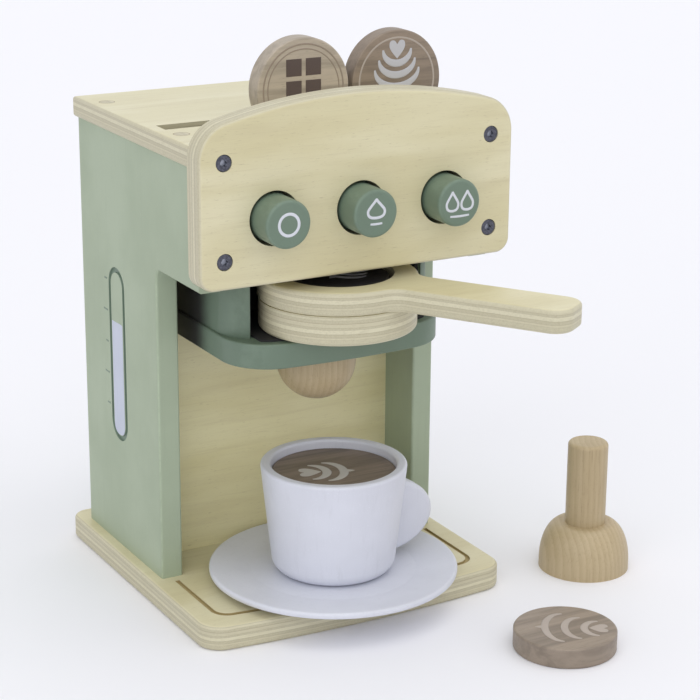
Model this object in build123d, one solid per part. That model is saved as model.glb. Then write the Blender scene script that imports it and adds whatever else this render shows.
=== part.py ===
from build123d import *
import math
import os

# A wooden toy coffee maker with its portafilter, cup, saucer, tamper and coffee discs.
# Sizes are millimetres. The origin is on the floor under the middle of the base board, with X to
# the right as seen from the front, Y towards the back and Z up. Left and right are the viewer's.

# Base board, with an engraved line that marks the drip tray
base_width = 162.0
base_depth = 170.0
base_thickness = 12.0
base_front_bow = 5.0
base_front_corner = 12.0
base_rear_corner = 8.0
base_edge_round = 2.0
tray_line_inset = 10.5
tray_line_width = 2.2
tray_line_depth = 1.2
tray_line_corner = 9.0
tray_line_gap = 5.0

# Side panels, whose upper part reaches forward over the drinks bay
body_width = 150.0
side_thickness = 11.0
housing_height = 52.0
leg_front_y = -17.5
leg_depth = 88.5
head_reach = 47.0
head_step_drop = 3.5
head_step_round = 4.0
side_edge_round = 1.2

# Engraved water gauge on the left side panel
gauge_width = 19.0
gauge_height = 88.0
gauge_line = 2.6
gauge_depth = 1.2
gauge_from_leg_front = 47.0
gauge_middle_height = 100.0

# Top board with three slots for coffee discs
top_thickness = 10.0
top_side_overhang = 1.5
top_rear_overhang = 2.5
top_edge_round = 1.5
slot_shortfall = 7.0
slot_end_margin = 6.0
slot_from_leg_front = 1.0
slot_clearance = 0.4

# Front panel
front_width = 160.0
front_thickness = 12.0
front_peak_rise = 20.7
front_shoulder_drop = 12.2
front_lower_corner = 7.0
front_upper_corner = 17.0
front_edge_round = 1.8

# Inner boards
bay_panel_thickness = 8.0
bay_depth = 27.0
rear_panel_thickness = 8.0
head_floor_thickness = 6.0
guide_board_thickness = 8.0

# Push buttons: a turned cap with a collar, on a dowel that a return spring surrounds
button_from_side_panel = 20.5
button_rise = 30.0
button_radius = 11.0
button_hole_gap = 1.5
button_proud = 13.5
button_face_round = 1.6
collar_radius = 14.0
collar_thickness = 3.0
dowel_radius = 4.0
dowel_socket = 12.0
dowel_running_fit = 0.08
dowel_tail = 8.0
spring_length = 16.0
spring_radius = 5.8
spring_wire = 0.5
spring_turns = 5.0
spring_end_gap = 0.06

# Brew shelf with its guide blocks, black liner and spout
shelf_bottom_height = 115.0
shelf_thickness = 12.0
shelf_reach = 53.0
shelf_bow = 4.0
shelf_corner = 24.0
shelf_edge_round = 1.0
block_thickness = 9.0
block_side_setback = 1.5
block_front_setback = 12.0
block_corner = 18.0
mouth_gap = 6.0
liner_thickness = 1.5
liner_setback = 2.5
mat_thickness = 1.0
mat_setback = 4.0
mat_side_gap = 0.3
liner_to_head_gap = 0.5
spout_radius = 19.0
spout_neck = 10.0
spout_from_leg_front = 16.5
spout_tenon_radius = 5.0
spout_tenon_length = 9.0

# Portafilter: a round head of two layers, the upper one with the handle
head_radius = 37.5
head_from_leg_front = 37.5
head_lower_thickness = 14.0
head_upper_thickness = 11.0
head_lower_step = 0.5
head_headroom = 5.0
head_recess_gap = 2.2
handle_reach = 118.0
handle_width = 26.0
handle_angle = -56.0
handle_end_corner = 9.5
handle_root_round = 10.0
handle_edge_round = 1.8

# Coffee discs
disc_radius = 24.0
disc_thickness = 9.6
disc_edge_round = 0.9
disc_seat_gap = 0.05
loose_disc_place = (68.0, -150.5)

# Saucer, cup and coffee insert
saucer_side_gap = 4.0
saucer_rear_gap = 1.5
saucer_thickness = 5.0
saucer_rim_rise = 2.0
saucer_rim_edge = 3.0
saucer_foot_radius = 42.0
saucer_well_radius = 40.0
cup_height = 53.8
cup_rim_radius = 35.2
cup_foot_radius = 29.3
cup_foot_round = 7.0
cup_wall = 4.0
cup_floor = 7.0
cup_lip_round = 1.4
insert_depth = 4.2
insert_thickness = 6.0
insert_ledge = 3.0
insert_gap = 0.3
insert_edge_round = 0.8
ear_height = 36.5
ear_reach = 21.0
ear_thickness = 10.0
ear_round = 2.2
ear_middle_height = 21.5

# Tamper
tamper_radius = 22.5
tamper_rim_height = 4.0
tamper_dome_height = 24.0
tamper_neck_radius = 12.5
tamper_height = 66.5
tamper_stem_radius = 10.0
tamper_stem_round = 2.0
tamper_socket = 10.0
tamper_place = (130.5, -76.8)

# Fasteners
screw_head_radius = 3.6
screw_head_height = 2.8
screw_head_gap = 0.3
screw_head_inset = 0.4
screw_radius = 1.75
screw_length = 28.0
screw_hex = 3.0
screw_hex_depth = 1.6
screw_fit = 0.04
screw_from_inner_face = 4.0
front_screw_rise = 13.0
plug_radius = 3.9
plug_depth = 3.5
top_screw_front_inset = 31.0
top_screw_rear_inset = 19.5
base_screw_inset = 15.0

# Heights and depths that follow from the sizes above
base_top = base_thickness
body_rear_y = leg_front_y + leg_depth
head_front_y = leg_front_y - head_reach
front_face_y = head_front_y - front_thickness
inner_half = body_width / 2 - side_thickness
screw_x = inner_half + screw_from_inner_face
bay_front_y = leg_front_y + bay_depth
guide_front_y = head_front_y + collar_thickness + spring_length
guide_rear_y = guide_front_y + guide_board_thickness
shelf_bottom = base_top + shelf_bottom_height
shelf_top = shelf_bottom + shelf_thickness
mouth_half = head_radius + mouth_gap + liner_thickness
shelf_half = mouth_half + block_thickness + block_side_setback
shelf_front_y = leg_front_y - shelf_reach
mat_top = shelf_top + mat_thickness
head_y = leg_front_y - head_from_leg_front
liner_back_y = head_y + head_radius + liner_to_head_gap
upper_layer_bottom = mat_top + head_lower_thickness
front_bottom = upper_layer_bottom + head_upper_thickness + head_headroom
panel_top = front_bottom + housing_height
top_board_top = panel_top + top_thickness
head_floor_top = front_bottom + head_floor_thickness
button_z = front_bottom + button_rise
front_peak = top_board_top + front_peak_rise
slot_y = leg_front_y + slot_from_leg_front
slot_length = 2 * disc_radius - slot_shortfall
slot_spacing = body_width / 2 + top_side_overhang - slot_end_margin - slot_length / 2
slot_rows = [-slot_spacing, 0.0, slot_spacing]
saucer_radius = inner_half - saucer_side_gap
saucer_y = bay_front_y - saucer_rear_gap - saucer_radius
cup_bottom = base_top + saucer_thickness
button_spacing = inner_half - button_from_side_panel
sides = {"left": -1, "right": 1}
button_places = {"left": -button_spacing, "middle": 0.0, "right": button_spacing}


# Shared shapes

def block(x, y, z):
    """A box between three pairs of limits."""
    size = [high - low for low, high in (x, y, z)]
    middle = [(high + low) / 2 for low, high in (x, y, z)]
    return Pos(*middle) * Box(*size)


def post(radius, x, y, z_low, z_high):
    """A cylinder that stands upright."""
    return Pos(x, y, (z_low + z_high) / 2) * Cylinder(radius, z_high - z_low)


def rod(radius, x, z, y_front, y_back):
    """A cylinder that lies along Y."""
    return Pos(x, (y_front + y_back) / 2, z) * Rot(X=90) * Cylinder(radius, y_back - y_front)


def turned(points):
    """A solid turned about Z from (radius, height) points that start and end on the axis."""
    profile = make_face(Plane.XZ * Polyline(*points, close=True))
    return revolve(profile, Axis.Z)


def bowed_outline(half_width, rear_y, front_y, bow, corner):
    """A board seen from above: straight back and sides, a bowed front and rounded front corners."""
    side_end = front_y + bow
    edges = [
        Line((-half_width, side_end), (-half_width, rear_y)),
        Line((-half_width, rear_y), (half_width, rear_y)),
        Line((half_width, rear_y), (half_width, side_end)),
        ThreePointArc((half_width, side_end), (0, front_y), (-half_width, side_end)),
    ]
    face = make_face(edges)
    return fillet(face.vertices().sort_by(Axis.Y)[:2], corner)


def raised(face, z_low, z_high):
    """A face in the ground plane, extruded between two heights."""
    return Pos(0, 0, z_low) * extrude(face, z_high - z_low, dir=(0, 0, 1))


def edges_in_plane(solid, axis, place):
    """The edges of a solid that lie flat in a plane across an axis."""
    return solid.edges().filter_by_position(axis, place - 0.001, place + 0.001)


# Base

def base_board():
    """The base board, its four screw holes and the drip tray's engraved line."""
    half = base_width / 2
    rear = base_depth / 2
    outline = bowed_outline(half, rear, -rear, base_front_bow, base_front_corner)
    outline = fillet(outline.vertices().sort_by(Axis.Y)[-2:], base_rear_corner)
    board = raised(outline, 0, base_top)
    rims = edges_in_plane(board, Axis.Z, 0) + edges_in_plane(board, Axis.Z, base_top)
    board = fillet(rims, base_edge_round)
    for x, y in base_screw_places():
        board -= countersunk_hole(x, y)
    return board - tray_line()


def tray_line():
    """The groove that runs inside the front edge of the base, from one leg to the other."""
    half = base_width / 2 - tray_line_inset
    front = -base_depth / 2 + tray_line_inset
    back = leg_front_y + tray_line_width
    outer = bowed_outline(half, back, front, base_front_bow, tray_line_corner)
    inner = bowed_outline(half - tray_line_width, back, front + tray_line_width, base_front_bow,
                          tray_line_corner - tray_line_width)
    line = raised(outer - inner, base_top - tray_line_depth, base_top + 1)
    end = leg_front_y - tray_line_gap
    keep = block((-base_width, base_width), (-base_depth, end), (0, base_top + 2))
    return line & keep


def base_screw_places():
    """Two screws under each side panel."""
    rows = [leg_front_y + base_screw_inset, body_rear_y - base_screw_inset]
    return [(side * screw_x, y) for side in (-1, 1) for y in rows]


def countersunk_screw(x, y, grow=0.0):
    """A countersunk wood screw that points up from the underside of the base."""
    head = screw_head_radius + grow
    shank = screw_radius + grow
    points = [
        (0, screw_head_inset),
        (head, screw_head_inset),
        (shank, screw_head_inset + screw_head_height),
        (shank, screw_length + grow),
        (0, screw_length + grow),
    ]
    return Pos(x, y, 0) * turned(points)


def countersunk_hole(x, y):
    """The hole for one base screw, open at the underside."""
    mouth = post(screw_head_radius + screw_fit, x, y, -1, screw_head_inset)
    return countersunk_screw(x, y, screw_fit) + mouth


def base_screws():
    """The four base screws with their hexagon sockets."""
    socket = hexagon(screw_hex, screw_head_inset - 1, screw_head_inset + screw_hex_depth)
    return [countersunk_screw(x, y) - Pos(x, y, 0) * socket for x, y in base_screw_places()]


def hexagon(across_flats, z_low, z_high):
    """An upright hexagonal prism."""
    return raised(RegularPolygon(across_flats / 2, 6, major_radius=False), z_low, z_high)


# Body

def side_panel(side):
    """One side panel: a leg with an upper part that reaches forward."""
    step = front_bottom - head_step_drop
    points = [
        (leg_front_y, base_top),
        (body_rear_y, base_top),
        (body_rear_y, panel_top),
        (head_front_y, panel_top),
        (head_front_y, step),
        (leg_front_y, step),
    ]
    profile = make_face(Plane.YZ * Polyline(*points, close=True))
    low_x = min(side * body_width / 2, side * inner_half)
    panel = Pos(low_x, 0, 0) * extrude(profile, side_thickness, dir=(1, 0, 0))
    inner_corner = panel.edges().filter_by(Axis.X).sort_by_distance((0, leg_front_y, step))[:1]
    panel = fillet(inner_corner, head_step_round)
    leg_edges = edges_in_plane(panel, Axis.Y, leg_front_y).filter_by(Axis.Z)
    panel = fillet(leg_edges, side_edge_round)
    for x, y in base_screw_places():
        panel -= post(screw_radius + screw_fit, x, y, 0, screw_length + screw_fit)
    for x, y in top_screw_places():
        panel -= post(screw_radius + screw_fit, x, y, top_screw_end() - screw_fit, panel_top + 1)
    for x, z in front_screw_places():
        panel -= rod(screw_radius + screw_fit, x, z, head_front_y - 1, front_screw_end() + screw_fit)
    return panel - water_gauge() if side < 0 else panel


def water_gauge():
    """The groove of the water gauge, a long rounded ring in the left panel's outer face."""
    y = leg_front_y + gauge_from_leg_front
    z = base_top + gauge_middle_height
    wall = Plane(origin=(-body_width / 2, y, z), x_dir=(0, -1, 0), z_dir=(-1, 0, 0))
    outer = SlotOverall(gauge_height, gauge_width, rotation=90)
    inner = SlotOverall(gauge_height - 2 * gauge_line, gauge_width - 2 * gauge_line, rotation=90)
    return extrude(wall * (outer - inner), gauge_depth, both=True)


def top_board():
    """The top board with three disc slots and four plugged screw holes."""
    half = body_width / 2 + top_side_overhang
    rear = body_rear_y + top_rear_overhang
    board = block((-half, half), (head_front_y, rear), (panel_top, top_board_top))
    outer = board.edges().filter_by_position(Axis.Y, head_front_y + 1, rear + 1)
    flat = [edge for edge in outer if abs(edge.center().Z - (panel_top + top_board_top) / 2) > 1]
    board = fillet(flat, top_edge_round)
    slot = block((-slot_length / 2, slot_length / 2), (-slot_width() / 2, slot_width() / 2),
                 (panel_top - 1, top_board_top + 1))
    for x in slot_rows:
        board -= Pos(x, slot_y, 0) * slot
    head_low = top_board_top - plug_depth - screw_head_height
    for x, y in top_screw_places():
        board -= post(plug_radius, x, y, head_low, top_board_top + 1)
        board -= post(screw_radius + screw_fit, x, y, panel_top - 1, head_low)
    for x, z in front_screw_places():
        board -= rod(screw_radius + screw_fit, x, z, head_front_y - 1, front_screw_end() + screw_fit)
    return board


def slot_width():
    """A slot is as wide as a disc is thick, and a little more."""
    return disc_thickness + 2 * slot_clearance


def top_screw_places():
    """Two screws through the top board into each side panel."""
    rows = [head_front_y + top_screw_front_inset, body_rear_y - top_screw_rear_inset]
    return [(side * screw_x, y) for side in (-1, 1) for y in rows]


def top_screw_end():
    """The height of a top screw's tip."""
    return top_board_top - plug_depth - screw_length


def top_screws():
    """The four screws under the wooden plugs."""
    head_top = top_board_top - plug_depth
    screws = []
    for x, y in top_screw_places():
        screw = post(screw_head_radius, x, y, head_top - screw_head_height, head_top)
        screw += post(screw_radius, x, y, top_screw_end(), head_top - screw_head_height)
        socket = hexagon(screw_hex, head_top - screw_hex_depth, head_top + 1)
        screws.append(screw - Pos(x, y, 0) * socket)
    return screws


def top_plugs():
    """The four wooden plugs that close the top board's screw holes."""
    low = top_board_top - plug_depth
    return [post(plug_radius, x, y, low, top_board_top) for x, y in top_screw_places()]


def front_panel():
    """The front panel: an arched top, three button holes and four screw holes."""
    half = front_width / 2
    shoulder = front_peak - front_shoulder_drop
    edges = [
        Line((-half, front_bottom), (half, front_bottom)),
        Line((half, front_bottom), (half, shoulder)),
        ThreePointArc((half, shoulder), (0, front_peak), (-half, shoulder)),
        Line((-half, shoulder), (-half, front_bottom)),
    ]
    face = make_face(edges)
    face = fillet(face.vertices().sort_by(Axis.Y)[:2], front_lower_corner)
    face = fillet(face.vertices().sort_by(Axis.Y)[-2:], front_upper_corner)
    upright = Plane(origin=(0, head_front_y, 0), x_dir=(1, 0, 0), z_dir=(0, -1, 0))
    panel = extrude(upright * face, front_thickness, dir=(0, -1, 0))
    panel = fillet(edges_in_plane(panel, Axis.Y, front_face_y), front_edge_round)
    for x in button_places.values():
        panel -= rod(button_radius + button_hole_gap, x, button_z, front_face_y - 1, head_front_y + 1)
    head_back = front_face_y + screw_head_inset + screw_head_height
    for x, z in front_screw_places():
        panel -= rod(screw_head_radius + screw_head_gap, x, z, front_face_y - 1, head_back)
        panel -= rod(screw_radius + screw_fit, x, z, head_back, head_front_y + 1)
    return panel


def front_screw_places():
    """Two screws into the side panels and two into the top board, as (x, z)."""
    rows = [front_bottom + front_screw_rise, panel_top + top_thickness / 2]
    return [(side * screw_x, z) for side in (-1, 1) for z in rows]


def front_screw_end():
    """The depth of a front screw's tip."""
    return front_face_y + screw_head_inset + screw_length


def front_panel_screws():
    """The four dark screws that hold the front panel."""
    head_front = front_face_y + screw_head_inset
    head_back = head_front + screw_head_height
    screws = []
    for x, z in front_screw_places():
        screw = rod(screw_head_radius, x, z, head_front, head_back)
        screw += rod(screw_radius, x, z, head_back, front_screw_end())
        socket = Pos(x, head_front, z) * Rot(X=90) * hexagon(screw_hex, -screw_hex_depth, 1)
        screws.append(screw - socket)
    return screws


def bay_panel():
    """The panel behind the cup, which also closes the back of the housing."""
    rear = bay_front_y + bay_panel_thickness
    return block((-inner_half, inner_half), (bay_front_y, rear), (base_top, panel_top))


def rear_panel():
    """The panel that closes the back between the side panels."""
    front = body_rear_y - rear_panel_thickness
    return block((-inner_half, inner_half), (front, body_rear_y), (base_top, panel_top))


def head_floor():
    """The board under the button housing, and the roof of the brew chamber."""
    return block((-inner_half, inner_half), (head_front_y, bay_front_y), (front_bottom, head_floor_top))


def button_guide_board():
    """The board inside the housing in which the button dowels run."""
    board = block((-inner_half, inner_half), (guide_front_y, guide_rear_y), (head_floor_top, panel_top))
    for x in button_places.values():
        hole = dowel_radius + dowel_running_fit
        board -= rod(hole, x, button_z, guide_front_y - 1, guide_rear_y + 1)
    return board


# Push buttons

def button_cap(x):
    """A turned button cap with the collar that keeps it behind the front panel."""
    tip = front_face_y - button_proud
    cap = rod(button_radius, x, button_z, tip, head_front_y)
    cap = fillet(edges_in_plane(cap, Axis.Y, tip), button_face_round)
    collar_back = head_front_y + collar_thickness
    cap += rod(collar_radius, x, button_z, head_front_y, collar_back)
    return cap - rod(dowel_radius, x, button_z, collar_back - dowel_socket, collar_back + 1)


def button_dowel(x):
    """The dowel glued into a cap, which runs in the guide board."""
    start = head_front_y + collar_thickness - dowel_socket
    return rod(dowel_radius, x, button_z, start, guide_rear_y + dowel_tail)


def button_spring(x):
    """The return spring between a cap's collar and the guide board."""
    start = head_front_y + collar_thickness + spring_wire + spring_end_gap
    height = spring_length - 2 * (spring_wire + spring_end_gap)
    path = Helix(height / spring_turns, height, spring_radius)
    wire = sweep(Plane(origin=path @ 0, z_dir=path % 0) * Circle(spring_wire), path=path)
    return Pos(x, start, button_z) * Rot(X=-90) * wire


# Brew shelf

def shelf_outline(side_inset, front_inset, corner):
    """The shelf's outline from above, drawn in by an inset at the sides and one at the front."""
    half = shelf_half - side_inset
    return bowed_outline(half, bay_front_y, shelf_front_y + front_inset, shelf_bow, corner)


def shelf():
    """The shelf that carries the portafilter."""
    board = raised(shelf_outline(0, 0, shelf_corner), shelf_bottom, shelf_top)
    rim = board.edges().filter_by_position(Axis.Y, shelf_front_y - 1, bay_front_y - 1)
    rim = [edge for edge in rim if abs(edge.center().Z - (shelf_bottom + shelf_top) / 2) > 1]
    board = fillet(rim, shelf_edge_round)
    y = leg_front_y - spout_from_leg_front
    return board - post(spout_tenon_radius, 0, y, shelf_bottom - 1, shelf_bottom + spout_tenon_length)


def guide_block(side):
    """One of the two blocks that the portafilter slides between."""
    outline = shelf_outline(block_side_setback, block_front_setback, block_corner)
    whole = raised(outline, shelf_top, front_bottom)
    low_x, high_x = sorted((side * mouth_half, side * (shelf_half + 1)))
    part = block((low_x, high_x), (shelf_front_y - 1, bay_front_y), (shelf_top, front_bottom))
    return whole & part


def chamber_liner():
    """The black liner of the brew chamber, U-shaped from above."""
    front = guide_block(1).bounding_box().min.Y + liner_setback
    back = liner_back_y + liner_thickness
    z = (shelf_top, front_bottom)
    outer = block((-mouth_half, mouth_half), (front, back), z)
    inner = mouth_half - liner_thickness
    return outer - block((-inner, inner), (front - 1, liner_back_y), z)


def chamber_mat():
    """The thin black mat on which the portafilter rests."""
    half = mouth_half - liner_thickness - mat_side_gap
    outline = shelf_outline(mat_setback, mat_setback, shelf_corner - mat_setback)
    whole = raised(outline, shelf_top, mat_top)
    back = liner_back_y - mat_side_gap
    return whole & block((-half, half), (shelf_front_y, back), (shelf_top, mat_top))


def spout():
    """The turned spout under the shelf: a neck, a ball end and a tenon in the shelf."""
    y = leg_front_y - spout_from_leg_front
    neck = post(spout_radius, 0, y, shelf_bottom - spout_neck, shelf_bottom)
    ball = Pos(0, y, shelf_bottom - spout_neck) * Sphere(spout_radius)
    ball &= post(spout_radius + 1, 0, y, shelf_bottom - spout_neck - spout_radius - 1, shelf_bottom)
    tenon = post(spout_tenon_radius, 0, y, shelf_bottom, shelf_bottom + spout_tenon_length)
    return neck + ball + tenon


# Portafilter

def portafilter_lower():
    """The lower round layer of the portafilter's head."""
    layer = post(head_radius - head_lower_step, 0, head_y, mat_top, upper_layer_bottom)
    return fillet(edges_in_plane(layer, Axis.Z, mat_top), handle_edge_round)


def portafilter_upper():
    """The upper layer of the head with its handle and the round recess for a disc."""
    grip = Pos(handle_reach / 2, 0) * Rectangle(handle_reach, handle_width)
    grip = fillet(grip.vertices().sort_by(Axis.X)[-2:], handle_end_corner)
    outline = Circle(head_radius) + grip
    root_x = math.sqrt(head_radius ** 2 - (handle_width / 2) ** 2)
    roots = [outline.vertices().sort_by_distance((root_x, side * handle_width / 2, 0))[0]
             for side in (-1, 1)]
    outline = fillet(roots, handle_root_round)
    layer = extrude(outline, head_upper_thickness, dir=(0, 0, 1))
    rims = edges_in_plane(layer, Axis.Z, 0) + edges_in_plane(layer, Axis.Z, head_upper_thickness)
    layer = fillet(rims, handle_edge_round)
    layer -= post(disc_radius + head_recess_gap, 0, 0, -1, head_upper_thickness + 1)
    return Pos(0, head_y, upper_layer_bottom) * Rot(Z=handle_angle) * layer


# Coffee discs

def coffee_disc():
    """A coffee disc that lies flat with its underside at the origin."""
    disc = post(disc_radius, 0, 0, 0, disc_thickness)
    return fillet(disc.edges().filter_by(GeomType.CIRCLE), disc_edge_round)


def standing_disc(row):
    """A disc that stands in a slot of the top board and rests on the slot's two ends."""
    rise = math.sqrt(disc_radius ** 2 - (slot_length / 2) ** 2) + disc_seat_gap
    place = Pos(slot_rows[row], slot_y + disc_thickness / 2, top_board_top + rise)
    return place * Rot(X=90) * coffee_disc()


# Cup and saucer

def saucer():
    """The saucer: a flat foot and well, with a rim that rises a little."""
    rim_top = base_top + saucer_thickness + saucer_rim_rise
    points = [
        (0, base_top),
        (saucer_foot_radius, base_top),
        (saucer_radius, rim_top - saucer_rim_edge),
        (saucer_radius, rim_top),
        (saucer_well_radius, cup_bottom),
        (0, cup_bottom),
    ]
    plate = turned(points)
    rim = plate.edges().filter_by_position(Axis.Z, rim_top - saucer_rim_edge - 0.01, rim_top + 0.01)
    plate = fillet(rim.filter_by(GeomType.CIRCLE), saucer_rim_edge * 0.4)
    return Pos(0, saucer_y, 0) * plate


def cup_outside():
    """The cup's outer form, solid and on the axis."""
    cup_top = cup_bottom + cup_height
    points = [(0, cup_bottom), (cup_foot_radius, cup_bottom), (cup_rim_radius, cup_top), (0, cup_top)]
    form = turned(points)
    foot = edges_in_plane(form, Axis.Z, cup_bottom)
    return fillet(foot, cup_foot_round)


def cup_radius(height):
    """The cup's outer radius at a height above its foot."""
    return cup_foot_radius + (cup_rim_radius - cup_foot_radius) * height / cup_height


def insert_radius(gap=0.0):
    """The radius of the insert's seat in the cup, less a gap."""
    return cup_radius(cup_height - insert_depth - insert_thickness) - cup_wall - gap


def cup_body():
    """The cup, hollow below a ledge on which the coffee insert sits."""
    cup_top = cup_bottom + cup_height
    ledge = cup_top - insert_depth - insert_thickness
    form = cup_outside()
    form -= post(insert_radius(), 0, 0, ledge, cup_top + 1)
    form -= post(insert_radius() - insert_ledge, 0, 0, cup_bottom + cup_floor, ledge + 1)
    lip = edges_in_plane(form, Axis.Z, cup_top)
    return Pos(0, saucer_y, 0) * fillet(lip, cup_lip_round)


def cup_handle():
    """The cup's solid ear, a half-round plate glued to its side."""
    middle = cup_bottom + ear_middle_height
    root = cup_radius(ear_middle_height)
    ear = Ellipse(ear_reach + cup_wall, ear_height / 2)
    plate = extrude(Plane.XZ * ear, ear_thickness / 2, both=True)
    plate = fillet(plate.edges(), ear_round)
    plate = Pos(root - cup_wall, 0, middle) * plate
    keep = block((0, 2 * cup_rim_radius), (-ear_thickness, ear_thickness), (0, 2 * panel_top))
    return Pos(0, saucer_y, 0) * ((plate & keep) - cup_outside())


def coffee_insert():
    """The round coffee top that drops into the cup."""
    top = cup_bottom + cup_height - insert_depth
    disc = post(insert_radius(insert_gap), 0, saucer_y, top - insert_thickness, top)
    return fillet(edges_in_plane(disc, Axis.Z, top), insert_edge_round)


# Tamper

def tamper_head():
    """The tamper's domed head, with a socket for its stem."""
    x, y = tamper_place
    rise = tamper_dome_height - tamper_rim_height
    edges = [
        Line((0, 0), (tamper_radius, 0)),
        Line((tamper_radius, 0), (tamper_radius, tamper_rim_height)),
        EllipticalCenterArc((tamper_neck_radius, tamper_rim_height), tamper_radius - tamper_neck_radius,
                            rise, start_angle=0, arc_size=90),
        Line((tamper_neck_radius, tamper_dome_height), (0, tamper_dome_height)),
        Line((0, tamper_dome_height), (0, 0)),
    ]
    dome = revolve(Plane.XZ * make_face(edges), Axis.Z)
    socket = post(tamper_stem_radius, 0, 0, tamper_dome_height - tamper_socket, tamper_dome_height + 1)
    return Pos(x, y, 0) * (dome - socket)


def tamper_stem():
    """The tamper's stem, a thick dowel with a rounded top."""
    x, y = tamper_place
    stem = post(tamper_stem_radius, x, y, tamper_dome_height - tamper_socket, tamper_height)
    return fillet(edges_in_plane(stem, Axis.Z, tamper_height), tamper_stem_round)


def all_nodes():
    """Each node's name and shape."""
    nodes = {
        "base_board": base_board(),
        "base_screws": Compound(base_screws()),
        "top_board": top_board(),
        "top_board_screws": Compound(top_screws()),
        "top_board_plugs": Compound(top_plugs()),
        "front_panel": front_panel(),
        "front_panel_screws": Compound(front_panel_screws()),
        "drinks_bay_panel": bay_panel(),
        "rear_panel": rear_panel(),
        "button_housing_floor": head_floor(),
        "button_guide_board": button_guide_board(),
        "brew_shelf": shelf(),
        "chamber_liner": chamber_liner(),
        "chamber_mat": chamber_mat(),
        "spout": spout(),
        "portafilter_lower_layer": portafilter_lower(),
        "portafilter_handle_layer": portafilter_upper(),
        "disc_in_portafilter": Pos(0, head_y, upper_layer_bottom) * coffee_disc(),
        "disc_in_middle_slot": standing_disc(1),
        "disc_in_right_slot": standing_disc(2),
        "disc_lying": Pos(*loose_disc_place, 0) * coffee_disc(),
        "saucer": saucer(),
        "cup_body": cup_body(),
        "cup_handle": cup_handle(),
        "coffee_insert": coffee_insert(),
        "tamper_head": tamper_head(),
        "tamper_stem": tamper_stem(),
    }
    for name, side in sides.items():
        nodes[name + "_side_panel"] = side_panel(side)
        nodes[name + "_guide_block"] = guide_block(side)
    for name, x in button_places.items():
        nodes["button_cap_" + name] = button_cap(x)
        nodes["button_dowel_" + name] = button_dowel(x)
        nodes["button_spring_" + name] = button_spring(x)
    return nodes


os.makedirs("parts", exist_ok=True)
for node, shape in all_nodes().items():
    export_step(shape, "parts/" + node + ".step")
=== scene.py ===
import math

import bmesh
import bpy
from mathutils import Matrix, Vector


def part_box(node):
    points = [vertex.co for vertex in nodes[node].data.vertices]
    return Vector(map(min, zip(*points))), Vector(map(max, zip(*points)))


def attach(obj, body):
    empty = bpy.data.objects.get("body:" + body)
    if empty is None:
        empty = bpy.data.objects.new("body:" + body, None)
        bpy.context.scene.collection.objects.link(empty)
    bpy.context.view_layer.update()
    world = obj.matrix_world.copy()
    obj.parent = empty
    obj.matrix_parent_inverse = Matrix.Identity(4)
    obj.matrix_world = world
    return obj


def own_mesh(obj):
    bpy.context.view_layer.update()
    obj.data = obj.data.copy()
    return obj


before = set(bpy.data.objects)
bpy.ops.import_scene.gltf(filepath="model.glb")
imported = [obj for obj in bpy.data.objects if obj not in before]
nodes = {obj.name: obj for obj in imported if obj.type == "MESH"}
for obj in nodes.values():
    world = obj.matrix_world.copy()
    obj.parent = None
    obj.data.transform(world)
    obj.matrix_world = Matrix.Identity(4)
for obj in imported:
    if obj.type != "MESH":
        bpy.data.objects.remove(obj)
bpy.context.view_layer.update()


# Studio
# A camera low at the left front, a pale floor that fills the view, and wide soft light from above
# with a gentle sky, so that every colour shows about as it is written.

camera_place = Vector((-0.4503, -0.8692, 0.4212))
camera_target = Vector((0.0312, -0.0114, 0.1103))
camera_roll = math.radians(0.42)
camera_lens = 107.5
camera_sensor = 36.0
camera_clip = 0.05
sky_light = 0.6
sky_seen = 1.0
floor_half_width = 12.0
floor_roughness = 0.8

camera_data = bpy.data.cameras.new("camera")
camera_data.lens = camera_lens
camera_data.sensor_width = camera_sensor
camera_data.clip_start = camera_clip
camera = bpy.data.objects.new("camera", camera_data)
bpy.context.scene.collection.objects.link(camera)
bpy.context.scene.camera = camera
camera_turn = (camera_target - camera_place).to_track_quat("-Z", "Y").to_matrix().to_4x4()
camera.matrix_world = Matrix.Translation(camera_place) @ camera_turn @ Matrix.Rotation(camera_roll, 4, "Z")

bpy.context.scene.view_settings.view_transform = "Standard"


def linear(red, green, blue):
    """A colour written as it looks on screen, from 0 to 255, in the shader's linear values."""
    shares = [channel / 255 for channel in (red, green, blue)]
    return (*[s / 12.92 if s <= 0.04045 else ((s + 0.055) / 1.055) ** 2.4 for s in shares], 1.0)


def finish(name, roughness, coat=0.0, metallic=0.0):
    """A new finish with a plain shader."""
    made = bpy.data.materials.new(name)
    made.use_nodes = True
    shader = made.node_tree.nodes["Principled BSDF"]
    shader.inputs["Roughness"].default_value = roughness
    shader.inputs["Coat Weight"].default_value = coat
    shader.inputs["Metallic"].default_value = metallic
    return made


def soft_light(name, direction, strength, width, colour):
    """Even light from a direction, as wide as a large soft box."""
    data = bpy.data.lights.new(name, "SUN")
    data.energy = strength
    data.angle = math.radians(width)
    data.color = colour
    made = bpy.data.objects.new(name, data)
    bpy.context.scene.collection.objects.link(made)
    made.matrix_world = Vector(direction).to_track_quat("Z", "Y").to_matrix().to_4x4()


soft_light("top_light", (0.05, 0.03, 1.0), strength=0.82, width=60.0, colour=(1.0, 0.99, 0.975))
soft_light("left_light", (-0.8, -0.8, 0.7), strength=0.74, width=60.0, colour=(0.99, 0.995, 1.0))
soft_light("right_light", (0.7, -0.8, 0.8), strength=0.36, width=60.0, colour=(1.0, 0.99, 0.98))

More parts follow.
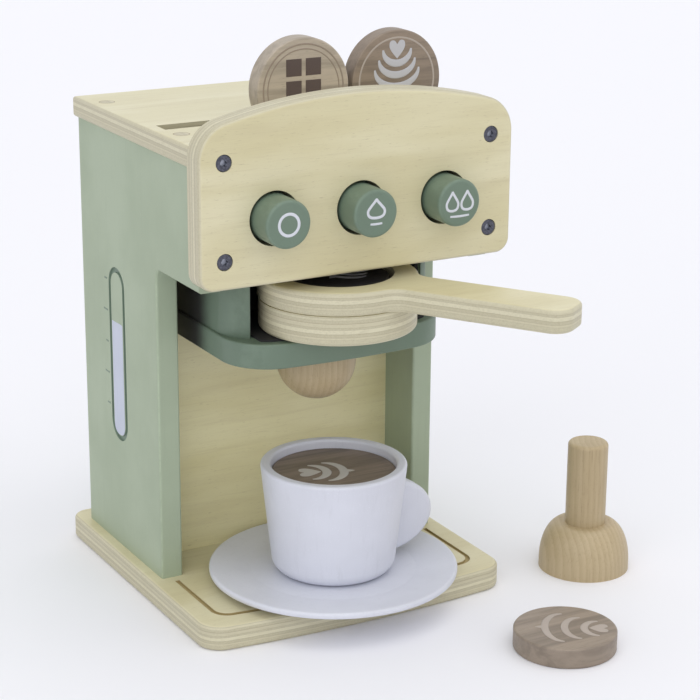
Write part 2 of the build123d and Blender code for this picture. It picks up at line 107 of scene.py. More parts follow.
sky = bpy.data.worlds.new("sky")
sky.use_nodes = True
bpy.context.scene.world = sky
sky_tree = sky.node_tree
sky_tree.nodes["Background"].inputs["Color"].default_value = linear(248, 249, 252)
ray = sky_tree.nodes.new("ShaderNodeLightPath")
seen = ray.outputs["Is Camera Ray"]
for kind in ("Is Glossy Ray", "Is Transmission Ray"):
    either = sky_tree.nodes.new("ShaderNodeMath")
    either.operation = "MAXIMUM"
    sky_tree.links.new(seen, either.inputs[0])
    sky_tree.links.new(ray.outputs[kind], either.inputs[1])
    seen = either.outputs[0]
level = sky_tree.nodes.new("ShaderNodeMapRange")
level.inputs["To Min"].default_value = sky_light
level.inputs["To Max"].default_value = sky_seen
sky_tree.links.new(seen, level.inputs["Value"])
sky_tree.links.new(level.outputs["Result"], sky_tree.nodes["Background"].inputs["Strength"])

floor_finish = finish("pale_floor", floor_roughness)
floor_finish.node_tree.nodes["Principled BSDF"].inputs["Base Color"].default_value = linear(246, 246, 251)
floor_mesh = bpy.data.meshes.new("floor")
shape = bmesh.new()
bmesh.ops.create_grid(shape, x_segments=1, y_segments=1, size=floor_half_width)
shape.to_mesh(floor_mesh)
shape.free()
floor_mesh.materials.append(floor_finish)
floor = bpy.data.objects.new("floor", floor_mesh)
bpy.context.scene.collection.objects.link(floor)


# Base board
# Birch plywood with a clear lacquer: faces with a fine grain, bare plies along the rounded rim,
# and a burnt line that marks the drip tray. The side panels are screwed to it from below.

mm = 0.001

birch_pale = linear(221, 214, 180)
birch_warm = linear(209, 200, 160)
birch_streak = linear(188, 175, 138)
birch_pore = linear(148, 130, 96)
birch_edge = linear(216, 210, 182)
birch_end_grain = linear(192, 186, 158)
birch_edge_streak = linear(174, 166, 138)
birch_glue = linear(136, 122, 94)
burnt_line = linear(176, 158, 112)
ply_thickness = 1.5 * mm
relief_strength = 0.35
wood_relief = 0.12 * mm
tray_line_inset = 10.5 * mm
tray_line_depth = 1.2 * mm
mark_margin = 0.1 * mm
mark_skin = 0.05 * mm
base_low, base_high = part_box("base_board")


def step(tree, kind, *sources, output=None, **settings):
    """One shader node, whose inputs take sockets or numbers in order. Returns a named or first output."""
    made = tree.nodes.new("ShaderNode" + kind)
    for setting, value in settings.items():
        setattr(made, setting, value)
    for socket, source in zip([socket for socket in made.inputs if socket.enabled], sources):
        if isinstance(source, bpy.types.NodeSocket):
            tree.links.new(source, socket)
        elif source is not None:
            socket.default_value = source
    if output is not None:
        return made.outputs[output]
    return next(socket for socket in made.outputs if socket.enabled)


def calc(tree, operation, *values):
    """One sum of numbers."""
    return step(tree, "Math", *values, operation=operation)


def eased(tree, value, low, high, low_result=0.0, high_result=1.0):
    """A value that turns smoothly from one result to the other between two limits."""
    return step(tree, "MapRange", value, low, high, low_result, high_result,
                interpolation_type="SMOOTHSTEP")


def mixed(tree, share, first, second, blend="MIX"):
    """Two colours, mixed by a share."""
    return step(tree, "Mix", share, first, second, data_type="RGBA", blend_type=blend)


def tinted(tree, base, colour, pattern, low, high, most=1.0):
    """A base with a colour over it, from none to the most as a pattern rises between two limits."""
    return mixed(tree, eased(tree, pattern, low, high, 0.0, most), base, colour)


def coordinates(tree):
    """The point on the piece, whole and by axis."""
    point = step(tree, "TexCoord", output="Object")
    return point, [step(tree, "SeparateXYZ", point, output=axis) for axis in "XYZ"]


def facing(tree):
    """How much the surface faces each axis, from 0 to 1."""
    normal = step(tree, "TexCoord", output="Normal")
    parts = [step(tree, "SeparateXYZ", normal, output=axis) for axis in "XYZ"]
    return [calc(tree, "ABSOLUTE", part) for part in parts]


def noise(tree, point, scale, detail=3.0, roughness=0.5, distortion=0.0):
    """Cloudy noise, which a list of three scales stretches along an axis."""
    spread = scale if isinstance(scale, list) else [scale] * 3
    place = step(tree, "Mapping", point, None, None, spread)
    return step(tree, "TexNoise", place, 1.0, detail, roughness, 2.0, distortion)


def along(axis, lengthwise, crosswise):
    """Scales for a pattern that runs along an axis."""
    return [lengthwise if axis == letter else crosswise for letter in "XYZ"]


def put_on(made, colour, roughness, height, depth):
    """Links a colour, a roughness and a relief of some depth to a finish's shader."""
    tree = made.node_tree
    shader = tree.nodes["Principled BSDF"]
    relief = tree.nodes.new("ShaderNodeBump")
    relief.inputs["Strength"].default_value = relief_strength
    relief.inputs["Distance"].default_value = depth
    tree.links.new(colour, shader.inputs["Base Color"])
    tree.links.new(roughness, shader.inputs["Roughness"])
    tree.links.new(height, relief.inputs["Height"])
    tree.links.new(relief.outputs["Normal"], shader.inputs["Normal"])


def plywood(name, thickness, grain, node, mark=None, mark_colour=None, painted_light=None):
    """Lacquered birch plywood: thickness and grain are axes, and the plies fit the node's box."""
    made = finish(name, 0.45, coat=0.05)
    tree = made.node_tree
    point, axes = coordinates(tree)
    across = "XYZ".index(thickness)
    low, high = [corner[across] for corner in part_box(node)]

    # The face: clouds, long figure, fibres and short pores
    cloud = noise(tree, point, along(grain, 6.0, 24.0), detail=3.0, roughness=0.55, distortion=0.6)
    figure = noise(tree, point, along(grain, 10.0, 120.0), detail=4.0, roughness=0.6, distortion=0.8)
    fibre = noise(tree, point, along(grain, 45.0, 1200.0), detail=5.0, roughness=0.7)
    pore = noise(tree, point, along(grain, 260.0, 3600.0), detail=2.0, roughness=0.6)
    face = tinted(tree, birch_pale, birch_warm, cloud, 0.35, 0.65)
    face = tinted(tree, face, birch_streak, figure, 0.48, 0.78, most=0.28)
    face = tinted(tree, face, birch_streak, fibre, 0.5, 0.8, most=0.36)
    face = tinted(tree, face, birch_pore, pore, 0.64, 0.74, most=0.4)
    # A share that makes one board's faces paler: painted light in the bay, and a painted sheen on the top
    # board.
    if painted_light is not None:
        face = mixed(tree, 1.0, face, (*painted_light, 1.0), "MULTIPLY")

    # The edge: wavering plies of unequal thickness, with long and end grain by turns
    plies = round((high - low) / ply_thickness) // 2 * 2 + 1
    depth = step(tree, "MapRange", axes[across], low, high, 0.0, float(plies))
    waver = noise(tree, point, 70.0)
    depth = calc(tree, "MULTIPLY_ADD", waver, 0.3, depth)
    swell = calc(tree, "SINE", calc(tree, "MULTIPLY", depth, 2.3))
    depth = calc(tree, "MULTIPLY_ADD", swell, 0.2, depth)
    ply = calc(tree, "FLOOR", depth)
    chance = step(tree, "TexWhiteNoise", ply, noise_dimensions="1D")
    odd = calc(tree, "MODULO", ply, 2.0)
    speckle = noise(tree, point, 1500.0, roughness=0.7)
    long_grain = tinted(tree, birch_edge, birch_edge_streak, fibre, 0.4, 0.8, most=0.5)
    end_grain = tinted(tree, birch_end_grain, birch_edge_streak, speckle, 0.4, 0.7)
    edge = mixed(tree, calc(tree, "MULTIPLY_ADD", odd, 0.6, 0.1), long_grain, end_grain)
    edge = mixed(tree, calc(tree, "MULTIPLY", chance, 0.35), edge, birch_edge_streak)

    # The glue between each two plies, darker at some than at others
    near_glue = calc(tree, "PINGPONG", depth, 0.5)
    glue_strength = calc(tree, "MULTIPLY_ADD", calc(tree, "POWER", chance, 2.0), 0.5, 0.14)
    glue = calc(tree, "MULTIPLY", eased(tree, near_glue, 0.02, 0.1, 1.0, 0.0), glue_strength)
    edge = mixed(tree, glue, edge, birch_glue)

    rim = eased(tree, facing(tree)[across], 0.75, 0.97, 1.0, 0.0)
    colour = mixed(tree, rim, face, edge)
    height = calc(tree, "MULTIPLY_ADD", fibre, 0.5, calc(tree, "MULTIPLY", glue, -0.6))
    roughness = eased(tree, fibre, 0.3, 0.8, 0.4, 0.54)
    if mark is not None:
        share = mark(tree, axes)
        colour = mixed(tree, share, colour, mark_colour)
        roughness = calc(tree, "MAXIMUM", roughness, calc(tree, "MULTIPLY", share, 0.8))
    put_on(made, colour, roughness, height, wood_relief)
    return made


def between(tree, value, low, high):
    """1 where a value lies between two limits, and 0 elsewhere."""
    above = calc(tree, "GREATER_THAN", value, low)
    return calc(tree, "MULTIPLY", above, calc(tree, "LESS_THAN", value, high))


def inside(tree, axes, low, high):
    """1 inside a box, given by its lowest and highest corners, and 0 elsewhere."""
    x, y, z = [between(tree, *limits) for limits in zip(axes, low, high)]
    return calc(tree, "MULTIPLY", calc(tree, "MULTIPLY", x, y), z)


def in_tray_line(tree, axes):
    """The engraved line: below the top face, inside its inset from the rim."""
    reach = tray_line_inset - mark_margin
    low = (base_low.x + reach, base_low.y + reach, base_high.z - tray_line_depth - mark_margin)
    high = (base_high.x - reach, base_high.y - reach, base_high.z - mark_skin)
    return inside(tree, axes, low, high)


def dress(node, made):
    """Gives a carried-over piece its finish."""
    nodes[node].data.materials.clear()
    nodes[node].data.materials.append(made)


dress("base_board", plywood("base_plywood", "Z", "X", "base_board", in_tray_line, burnt_line))


# Base screws
# Four countersunk steel screws with hexagon sockets, plated in bright zinc. They come up through
# the base board from below and hold the side panels.

zinc_relief = 0.03 * mm


def zinc(name, dark, bright, roughness, metallic, mark=None, mark_colour=None):
    """Plated steel, faintly mottled."""
    made = finish(name, roughness, metallic=metallic)
    tree = made.node_tree
    point, axes = coordinates(tree)
    mottle = noise(tree, point, 1200.0, roughness=0.6)
    colour = tinted(tree, dark, bright, mottle, 0.3, 0.7)
    if mark is not None:
        colour = mixed(tree, mark(tree, axes), colour, mark_colour)
    worn = noise(tree, point, 500.0, roughness=0.6)
    wear = eased(tree, worn, 0.3, 0.7, roughness - 0.06, roughness + 0.1)
    put_on(made, colour, wear, mottle, zinc_relief)
    return made


bright_zinc = zinc("bright_zinc", linear(176, 178, 176), linear(206, 207, 203),
                   roughness=0.32, metallic=1.0)
dress("base_screws", bright_zinc)


# Side panels and rear panel
# Plywood under a matt sage paint, rolled on: a fine orange peel, a hint of the grain below and
# slightly paler edges where hands rub them. The left one carries the engraved water gauge, with
# its painted water and a scale beside it.

sage = linear(167, 180, 155)
gauge_groove = linear(124, 142, 126)
water_blue = linear(196, 202, 218)
scale_green = linear(122, 140, 124)
paint_relief = 0.09 * mm
panel_edge_round = 0.8 * mm
weld_distance = 0.01 * mm
gauge_centre = (-75.0, 29.5, 112.0)
gauge_middle = Vector(gauge_centre) * mm
gauge_half_width = 9.5 * mm
gauge_half_height = 44.0 * mm
gauge_depth = 1.2 * mm
panel_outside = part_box("left_side_panel")[0].x


def scaled(colour, share, lift=0.0):
    """A colour made darker or paler by a share, and lifted a little."""
    return (*[min(1.0, share * channel + lift) for channel in colour[:3]], 1.0)


def painted(name, colour, grain="Z", gloss=0.5, peel=1.0, rubbed=0.0, mark=None, mark_colour=None):
    """Paint over wood, with a rolled texture and a hint of grain."""
    made = finish(name, gloss)
    tree = made.node_tree
    point, axes = coordinates(tree)
    cloud = noise(tree, point, 22.0, roughness=0.6)
    fibre = noise(tree, point, along(grain, 26.0, 520.0), detail=4.0, roughness=0.65)
    dots = noise(tree, point, 1300.0, detail=2.0, roughness=0.6)
    darker = scaled(colour, 0.86)
    paler = scaled(colour, 1.18, lift=0.02)
    shade = tinted(tree, colour, darker, cloud, 0.3, 0.7, most=0.5)
    shade = tinted(tree, shade, darker, fibre, 0.52, 0.75, most=0.4)
    shade = tinted(tree, shade, paler, dots, 0.6, 0.75, most=0.25)
    if rubbed:
        faces = facing(tree)
        flattest = calc(tree, "MAXIMUM", calc(tree, "MAXIMUM", faces[0], faces[1]), faces[2])
        patchy = eased(tree, noise(tree, point, 140.0, roughness=0.7), 0.35, 0.65)
        edge = calc(tree, "MULTIPLY", eased(tree, flattest, 0.8, 0.97, rubbed, 0.0), patchy)
        shade = mixed(tree, edge, shade, paler)
    if mark is not None:
        shade = mixed(tree, mark(tree, axes), shade, mark_colour)
    roughness = eased(tree, cloud, 0.3, 0.7, gloss - 0.05, gloss + 0.08)
    height = calc(tree, "MULTIPLY_ADD", fibre, 0.6, calc(tree, "MULTIPLY", dots, 0.5 * peel))
    put_on(made, shade, roughness, height, paint_relief)
    return made


def in_gauge_line(tree, axes):
    """The gauge's engraved ring: just under the outer face, inside the ring's own box."""
    half_width = gauge_half_width + mark_margin
    half_height = gauge_half_height + mark_margin
    low = (panel_outside + mark_skin, gauge_middle.y - half_width, gauge_middle.z - half_height)
    high = (panel_outside + gauge_depth + mark_margin,
            gauge_middle.y + half_width, gauge_middle.z + half_height)
    return inside(tree, axes, low, high)


def weld(node):
    """Joins the points that a carried-over piece has in the same place."""
    join = nodes[node].modifiers.new("weld", "WELD")
    join.merge_threshold = weld_distance


def soften(node, width):
    """Rounds a carried-over piece's crisp edges a little."""
    weld(node)
    bevel = nodes[node].modifiers.new("soft_edges", "BEVEL")
    bevel.width = width
    bevel.segments = 3
    bevel.limit_method = "ANGLE"
    bevel.angle_limit = math.radians(40)
    bevel.harden_normals = True


dress("right_side_panel", painted("sage_paint", sage, rubbed=0.6))
dress("rear_panel", painted("sage_paint_rear", sage))
dress("left_side_panel", painted("sage_paint_gauge", sage, rubbed=0.6,
                                 mark=in_gauge_line, mark_colour=gauge_groove))
for panel in ("left_side_panel", "right_side_panel", "rear_panel"):
    soften(panel, panel_edge_round)

paint_height = 0.12 * mm
stroke_half_width = 0.5 * mm
curve_steps = 8
same_point = 0.0002 * mm


def on_face(centre, right, up):
    """The place of a flat drawing on a face, from its middle and the directions of its sides."""
    right = Vector(right)
    up = Vector(up)
    turn = Matrix((right, up, right.cross(up))).transposed().to_4x4()
    return Matrix.Translation(Vector(centre) * mm) @ turn


def brush_stroke(points, widths, closed=False):
    """A rounded stroke of paint along a smooth line, with points and widths in millimetres."""
    curve = bpy.data.curves.new("stroke", "CURVE")
    curve.dimensions = "3D"
    curve.bevel_depth = stroke_half_width
    curve.bevel_resolution = 3
    curve.resolution_u = curve_steps
    curve.use_fill_caps = True
    spline = curve.splines.new("NURBS")
    spline.points.add(len(points) - 1)
    for control, (x, y), width in zip(spline.points, points, widths):
        control.co = (x * mm, y * mm, 0.0, 1.0)
        control.radius = width
    spline.order_u = 3
    spline.use_cyclic_u = closed
    spline.use_endpoint_u = not closed
    return curve


def paint_patch(points, order=3):
    """A filled patch of paint inside a closed line, in millimetres; order 2 keeps its corners."""
    curve = bpy.data.curves.new("patch", "CURVE")
    curve.dimensions = "2D"
    curve.fill_mode = "BOTH"
    curve.extrude = paint_height
    curve.resolution_u = curve_steps if order > 2 else 1
    spline = curve.splines.new("NURBS")
    spline.points.add(len(points) - 1)
    for control, (x, y) in zip(spline.points, points):
        control.co = (x * mm, y * mm, 0.0, 1.0)
    spline.order_u = order
    spline.use_cyclic_u = True
    spline.use_smooth = False
    return curve


def paint_on(name, body, made, place, curves):
    """Joins strokes and patches to one thin layer of paint on a face, which moves with a body."""
    layer = bmesh.new()
    for curve in curves:
        drawn = bpy.data.objects.new("drawn", curve)
        flat = bpy.data.meshes.new_from_object(drawn)
        thickness = max(vertex.co.z for vertex in flat.vertices)
        flat.transform(Matrix.Diagonal((1.0, 1.0, paint_height / thickness, 1.0)))
        layer.from_mesh(flat)
        bpy.data.objects.remove(drawn)
    bmesh.ops.remove_doubles(layer, verts=layer.verts, dist=same_point)
    bmesh.ops.transform(layer, verts=layer.verts, matrix=place)
    bmesh.ops.recalc_face_normals(layer, faces=layer.faces)
    mesh = bpy.data.meshes.new(name)
    layer.to_mesh(mesh)
    layer.free()
    mesh.materials.append(made)
    piece = bpy.data.objects.new(name, mesh)
    bpy.context.scene.collection.objects.link(piece)
    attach(piece, body)


gauge_place = on_face(gauge_centre, (0, -1, 0), (0, 0, 1))
water_edge = [(-6.2, 16.4), (-6.2, 15.5), (-6.2, -30.0), (-6.2, -41.0), (6.2, -41.0), (6.2, -30.0),
              (6.2, 15.5), (6.2, 16.4), (3.0, 16.6), (-3.0, 16.2)]
paint_on("gauge_water", "machine",
         painted("water_paint", water_blue, gloss=0.4, peel=0.5),
         gauge_place, [paint_patch(water_edge)])

scale_start = -11.2
scale_line_width = 0.9
scale_lines = [(36, 3.2), (20, 5.0), (4, 3.2), (-12, 5.0), (-28, 3.2)]
gauge_scale = [brush_stroke([(scale_start, height), (scale_start - reach, height)], [scale_line_width] * 2)
               for height, reach in scale_lines]
paint_on("gauge_scale", "machine",
         painted("scale_paint", scale_green, gloss=0.45), gauge_place, gauge_scale)


# Inner boards
# Birch plywood panels, sawn square and glued between the side panels: one behind the cup, one
# under the button housing, and one inside it in which the buttons' dowels run.

# The bay panel's faces are painted paler and warmer: painted light, where the lamps barely reach into the
# bay.
bay_painted_light = (1.22, 1.22, 1.12)

dress("drinks_bay_panel", plywood("bay_plywood", "Y", "X", "drinks_bay_panel", painted_light=bay_painted_light))
dress("button_housing_floor", plywood("housing_floor_plywood", "Z", "X", "button_housing_floor"))
dress("button_guide_board", plywood("guide_plywood", "Y", "X", "button_guide_board"))


# Brew shelf and guide blocks
# Solid wood under a darker green paint: a bowed shelf and two blocks glued on it. Towards the rear
# the green darkens to near black: painted shade, where the chamber's shadow falls on them.

deep_green = linear(106, 124, 107)
rear_shade_colour = linear(38, 38, 39)
shade_start = -33.0 * mm
shade_end = -15.0 * mm
shade_waver = 4.0 * mm
block_edge_round = 0.6 * mm


def painted_rear_shade(tree, axes):
    """How much painted shade darkens the green: none at the front, all at the rear, slightly cloudy."""
    uneven = noise(tree, coordinates(tree)[0], 160.0)
    reach = calc(tree, "MULTIPLY_ADD", uneven, shade_waver, axes[1])
    return eased(tree, reach, shade_start, shade_end)


# The green paint carries painted shade that darkens it to near black towards the rear.
shelf_paint = painted("deep_green_paint", deep_green, grain="X", gloss=0.48, rubbed=0.4,
                      mark=painted_rear_shade, mark_colour=rear_shade_colour)
dress("brew_shelf", shelf_paint)
for piece in ("left_guide_block", "right_guide_block"):
    dress(piece, shelf_paint)
    soften(piece, block_edge_round)


# Chamber liner and mat
# A near-black finish with a fine felted surface, which makes the brew chamber as dark as deep shade:
# painted shade on the liner round the chamber between the guide blocks, and on the mat under the
# portafilter.

# Near black as painted shade for the chamber's dark inside.
chamber_near_black = painted("chamber_near_black", linear(32, 32, 34), gloss=0.75)
for piece in ("chamber_liner", "chamber_mat"):
    dress(piece, chamber_near_black)


# Spout
# Beech, turned in one piece with its tenon, with a clear lacquer and growth rings about a line
# beside its own axis. The tenon is glued into the shelf from below.

beech_pale = linear(189, 171, 137)
beech_dark = linear(169, 149, 113)
beech_fleck = linear(130, 108, 76)
rings_per_metre = 360.0


def beech(name, heart):
    """Turned beech: faint rings about an upright heart line, and short flecks along the grain."""
    made = finish(name, 0.48, coat=0.05)
    tree = made.node_tree
    point = coordinates(tree)[0]
    waver = noise(tree, point, along("Z", 7.0, 26.0), roughness=0.6)
    flat = step(tree, "VectorMath", point, tuple(-value for value in heart), operation="ADD")
    flat = step(tree, "VectorMath", flat, (1.0, 1.0, 0.0), operation="MULTIPLY")
    radius = step(tree, "VectorMath", flat, operation="LENGTH")
    growth = calc(tree, "MULTIPLY_ADD", radius, rings_per_metre, calc(tree, "MULTIPLY", waver, 2.0))
    rings = calc(tree, "FRACT", growth)
    cloud = noise(tree, point, along("Z", 14.0, 60.0), roughness=0.6)
    fleck = noise(tree, point, along("Z", 520.0, 3000.0), detail=2.0)
    fine = noise(tree, point, along("Z", 60.0, 1600.0), detail=4.0, roughness=0.7)
    colour = tinted(tree, beech_pale, beech_dark, rings, 0.1, 1.0, most=0.45)
    colour = tinted(tree, colour, beech_dark, cloud, 0.35, 0.7, most=0.5)
    colour = tinted(tree, colour, beech_fleck, fine, 0.5, 0.78, most=0.4)
    colour = tinted(tree, colour, beech_fleck, fleck, 0.64, 0.72, most=0.4)
    put_on(made, colour, eased(tree, fine, 0.3, 0.8, 0.42, 0.58), fine, wood_relief)
    return made


def beside(node, x, y):
    """An upright line beside a piece's own axis."""
    low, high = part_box(node)
    return ((low.x + high.x) / 2 + x, (low.y + high.y) / 2 + y, 0.0)


dress("spout", beech("spout_beech", beside("spout", 34 * mm, -22 * mm)))
weld("spout")


# Portafilter
# A round head of two plywood layers, glued face to face. The upper one has the recess for a disc
# and runs out into the flat handle.

dress("portafilter_lower_layer", plywood("head_plywood", "Z", "X", "portafilter_lower_layer"))
dress("portafilter_handle_layer", plywood("handle_plywood", "Z", "X", "portafilter_handle_layer"))


# Top board with its plugs and screws
# A plywood board with three disc slots. Its screws hide under birch plugs, glued in and sanded
# flush, whose grain runs across the board's.

# The top board's faces are painted paler and bluer: a painted sheen of light glancing off the lacquer.
top_painted_sheen = (1.07, 1.1, 1.2)
top_edge_round = 0.6 * mm
screw_from_middle = 68.0 * mm
plug_rows_middle = 9.0 * mm
plug_row_from_middle = 42.5 * mm
glue_inside = 3.2 * mm
glue_outside = 3.75 * mm

dress("top_board", plywood("top_plywood", "Z", "X", "top_board", painted_light=top_painted_sheen))
soften("top_board", top_edge_round)
dress("top_board_screws", bright_zinc)


def from_nearest(tree, first, second, spread, middle, gap):
    """The distance to the nearest of four points that mirror each other about a middle."""
    sideways = calc(tree, "SUBTRACT", calc(tree, "ABSOLUTE", first), spread)
    away = calc(tree, "ABSOLUTE", calc(tree, "SUBTRACT", second, middle))
    away = calc(tree, "SUBTRACT", away, gap)
    square = calc(tree, "MULTIPLY_ADD", sideways, sideways, calc(tree, "MULTIPLY", away, away))
    return calc(tree, "SQRT", square)


def glue_ring(tree, axes):
    """The dark ring of glue round each plug."""
    radius = from_nearest(tree, axes[0], axes[1], screw_from_middle, plug_rows_middle, plug_row_from_middle)
    return eased(tree, radius, glue_inside, glue_outside, 0.12, 0.85)


dress("top_board_plugs", plywood("plug_birch", "X", "Y", "top_board_plugs", glue_ring, birch_pore))


# Front panel with its screws
# Birch plywood with an arched top and three button holes. Four dark zinc screws with hexagon
# sockets hold it to the side panels and the top board; each socket's floor has a painted highlight.

front_rows_middle = 205.0 * mm
front_row_from_middle = 22.0 * mm
socket_inside = 1.3 * mm
socket_outside = 1.7 * mm

dress("front_panel", plywood("front_plywood", "Y", "X", "front_panel"))


def socket_painted_highlight(tree, axes):
    """A painted highlight on the floor of each screw's socket."""
    radius = from_nearest(tree, axes[0], axes[2], screw_from_middle, front_rows_middle,
                          front_row_from_middle)
    return eased(tree, radius, socket_inside, socket_outside, 1.0, 0.0)


# The pale mark colour is a painted highlight inside each socket.
dress("front_panel_screws", zinc("dark_zinc", linear(70, 71, 80), linear(98, 99, 110), roughness=0.42,
                                 metallic=0.7, mark=socket_painted_highlight, mark_colour=linear(168, 172, 184)))


# Buttons
# Turned caps under green paint, each with its own printed sign, on a beech dowel inside a wire
# spring: a ring, a drop over a line, and two drops over a line. Each spring gets a mesh of its own.

cap_paint = painted("cap_paint", linear(108, 127, 110), grain="Y", gloss=0.45, rubbed=0.5)
sign_paint = painted("sign_paint", linear(214, 217, 224), gloss=0.45, peel=0.5)
for place in ("left", "middle", "right"):
    dress("button_cap_" + place, cap_paint)
    dress("button_dowel_" + place, beech("dowel_beech_" + place, (0.0, 0.0, 0.0)))
    spring = "button_spring_" + place
    dress(spring, bright_zinc)
    low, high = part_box(spring)
    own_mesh(nodes[spring])

# A smooth line runs a little inside its points, so a ring's points stand out by this share.
ring_reach = 1.02


def drop(x, y, size, width, plump):
    """The outline of a drop, with its point up."""
    outline = [(0.0, 1.4), (-0.1, 1.15), (-0.5, 0.5), (-0.87, -0.15), (-0.7, -0.95), (0.0, -1.15),
               (0.7, -0.95), (0.87, -0.15), (0.5, 0.5), (0.1, 1.15)]
    points = [(x + size * plump * across, y + size * upward) for across, upward in outline]
    return brush_stroke(points, [width] * len(points), closed=True)


def spun(x, y, size, turn):
    """A point of a drawing, turned and brought to size."""
    return (size * (x * math.cos(turn) - y * math.sin(turn)),
            size * (x * math.sin(turn) + y * math.cos(turn)))


def ring(radius, width):
    """A painted ring, through points at the hours of a clock."""
    points = [spun(0.0, radius, ring_reach, math.radians(30 * hour)) for hour in range(12)]
    return brush_stroke(points, [width] * len(points), closed=True)


signs = {
    "left": [ring(4.9, 1.4)],
    "middle": [drop(0.0, 1.9, size=3.4, width=1.3, plump=1.55),
               brush_stroke([(-3.0, -4.5), (0.0, -4.8), (3.0, -4.5)], [0.9, 1.3, 0.9])],
    "right": [drop(-3.9, 0.6, size=3.5, width=1.2, plump=1.08),
              drop(3.9, 0.6, size=3.5, width=1.2, plump=1.08),
              brush_stroke([(-5.0, -5.8), (0.0, -6.2), (5.0, -5.8)], [0.9, 1.3, 0.9])],
}
for place, strokes in signs.items():
    low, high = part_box("button_cap_" + place)
    middle = (low + high) / 2 / mm
    face = on_face((middle.x, low.y / mm, middle.z), (1, 0, 0), (0, 0, 1))
    paint_on("button_sign_" + place, "button_" + place, sign_paint, face, strokes)


# Coffee discs
# Turned wooden discs, stained brown, pale or near black, each with a printed coffee figure. They
# are loose: two stand in the top board, one lies in the portafilter and one on the floor.

poured_heart = [(0.0, 17.1), (0.0, 17.1), (1.5, 19.3), (4.1, 18.8), (4.4, 15.8), (2.4, 12.9), (0.0, 10.4),
                (0.0, 10.4), (-2.4, 12.9), (-4.4, 15.8), (-4.1, 18.8), (-1.5, 19.3)]
poured_crescent = [(-1.0, 0.8, 1.0), (-0.98, -2.8, 2.6), (-0.55, -7.2, 3.8), (0.0, -8.6, 4.2),
                   (0.55, -7.2, 3.8), (0.98, -2.8, 2.6), (1.0, 0.8, 1.0)]
poured_foot = [(0.0, 3.2), (1.4, 2.6), (2.6, 1.4), (3.6, 0.4)]
crescent_half_width = 7.6
crescent_top = 14.2
crescent_depth = 0.74
crescent_deepening = 0.1
crescent_line = 0.88
foot_below_crescent = 9.2
tablet_square = [(-4.0, -4.0), (4.0, -4.0), (4.0, 4.0), (-4.0, 4.0)]
tablet_columns = (-5.1, 5.1)
tablet_rows = (-10.2, 0.0, 10.2)


def stained(name, colour, axis):
    """Stained wood with open grain along X and a darker rim, for a disc turned about an axis."""
    made = finish(name, 0.5, coat=0.04)
    tree = made.node_tree
    point = coordinates(tree)[0]
    fibre = noise(tree, point, along("X", 50.0, 900.0), detail=4.0, roughness=0.7)
    bands = noise(tree, point, along("X", 12.0, 160.0), roughness=0.6, distortion=0.6)
    pore = noise(tree, point, along("X", 240.0, 3200.0), detail=2.0, roughness=0.6)
    darker = scaled(colour, 0.74)
    darkest = scaled(colour, 0.5)
    paler = scaled(colour, 1.14, lift=0.004)
    shade = tinted(tree, paler, darker, bands, 0.35, 0.7)
    shade = tinted(tree, shade, darker, fibre, 0.5, 0.8, most=0.6)
    shade = tinted(tree, shade, darkest, pore, 0.63, 0.73, most=0.6)
    rim = eased(tree, facing(tree)["XYZ".index(axis)], 0.2, 0.9, 0.35, 0.0)
    shade = mixed(tree, rim, shade, darker)
    put_on(made, shade, eased(tree, fibre, 0.3, 0.8, 0.44, 0.6), fibre, wood_relief)
    return made


def tulip(layers, turn=0.0, size=1.0, pitch=4.7, spread=2.2, shift=(0.0, 0.0)):
    """A poured tulip: a heart on top, crescents that widen downwards and a pointed foot."""
    figure = [paint_patch([spun(x + shift[0], y + shift[1], size, turn) for x, y in poured_heart])]
    for layer in range(layers):
        half = crescent_half_width + spread * layer
        top = crescent_top - pitch * layer + shift[1]
        depth = crescent_depth + crescent_deepening * layer
        points = [spun(half * across + shift[0], top + depth * down, size, turn)
                  for across, down, _ in poured_crescent]
        widths = [size * crescent_line * width for _, _, width in poured_crescent]
        figure.append(brush_stroke(points, widths))
    foot = top - foot_below_crescent * depth
    points = [spun(shift[0], foot - down, size, turn) for down, _ in poured_foot]
    figure.append(brush_stroke(points, [size * width for _, width in poured_foot]))
    return figure


def disc_face(node, stands=False):
    """The middle of a disc's printed face: its front if it stands, or its top if it lies."""
    low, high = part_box(node)
    middle = (low + high) / 2 / mm
    if stands:
        return on_face((middle.x, low.y / mm, middle.z), (1, 0, 0), (0, 0, 1))
    return on_face((middle.x, middle.y, high.z / mm), (1, 0, 0), (0, 1, 0))


dress("disc_in_right_slot", stained("walnut_stain", linear(138, 123, 108), "Y"))
dress("disc_lying", stained("hazel_stain", linear(147, 133, 118), "Z"))
dress("disc_in_middle_slot", stained("maple_stain", linear(178, 166, 150), "Y"))
dress("disc_in_portafilter", stained("espresso_stain", linear(40, 38, 42), "Z"))

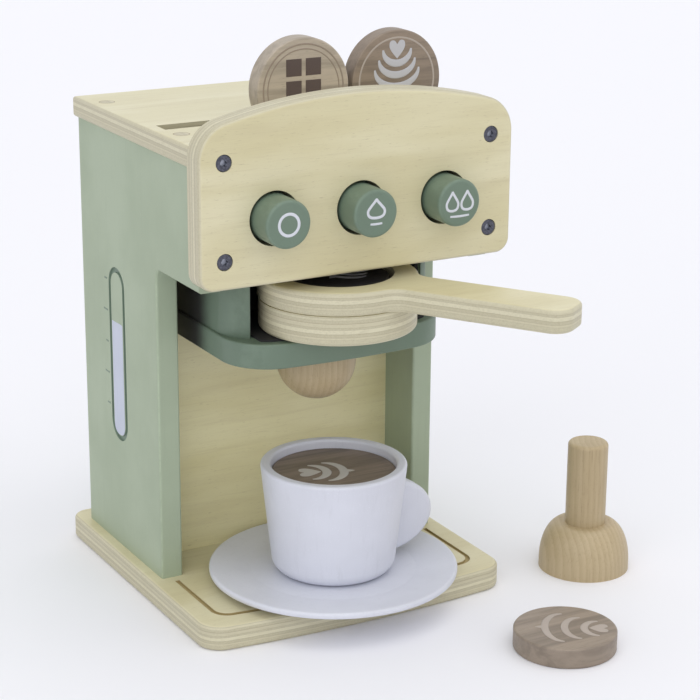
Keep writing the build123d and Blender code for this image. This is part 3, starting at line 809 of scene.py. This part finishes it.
cream_print = painted("cream_print", linear(200, 200, 206), gloss=0.5, peel=0.5)
soft_print = painted("soft_print", linear(182, 170, 160), gloss=0.5, peel=0.5)
cocoa_print = painted("cocoa_print", linear(88, 74, 70), gloss=0.5, peel=0.5)
ring_print = painted("ring_print", linear(152, 138, 124), gloss=0.5, peel=0.5)

face = disc_face("disc_in_right_slot", stands=True)
paint_on("tulip_in_right_slot", "right_slot_disc", cream_print, face, tulip(3))
paint_on("ring_in_right_slot", "right_slot_disc", soft_print, face, [ring(20.6, 0.9)])

face = disc_face("disc_in_middle_slot", stands=True)
tablet = [paint_patch([(x + column, y + row) for x, y in tablet_square], order=2)
          for column in tablet_columns for row in tablet_rows]
paint_on("tablet_in_middle_slot", "middle_slot_disc", cocoa_print, face, tablet)
paint_on("rings_in_middle_slot", "middle_slot_disc", ring_print, face,
         [ring(21.2, 0.8), ring(18.9, 0.6)])

paint_on("tulip_on_lying_disc", "lying_disc", soft_print, disc_face("disc_lying"),
         tulip(3, math.radians(-122), pitch=8.2, spread=3.6, shift=(0.0, 0.5)))
paint_on("tulip_in_portafilter", "portafilter_disc", cream_print,
         disc_face("disc_in_portafilter"), tulip(3, math.radians(-60)))


# Saucer, cup and coffee top
# Turned wood under a smooth white paint, with the ear glued to the cup's side. The coffee top is
# a stained disc with a poured leaf, and drops onto a ledge inside the cup.

white_paint = painted("white_paint", linear(219, 221, 231), gloss=0.4, peel=0.5)
milk_print = painted("milk_print", linear(190, 186, 180), gloss=0.5, peel=0.5)
for piece in ("saucer", "cup_body", "cup_handle"):
    dress(piece, white_paint)
dress("coffee_insert", stained("coffee_stain", linear(124, 110, 98), "Z"))
paint_on("leaf_on_coffee", "coffee_top", milk_print, disc_face("coffee_insert"),
         tulip(2, math.radians(70), size=1.2, pitch=6.0, shift=(-2.0, -5.0)))


# Tamper
# Turned beech with a clear lacquer: a domed head, and a thick dowel glued into it. It stands
# loose beside the machine.

tamper_beech = beech("tamper_beech", beside("tamper_head", 30 * mm, -16 * mm))
dress("tamper_head", tamper_beech)
dress("tamper_stem", tamper_beech)
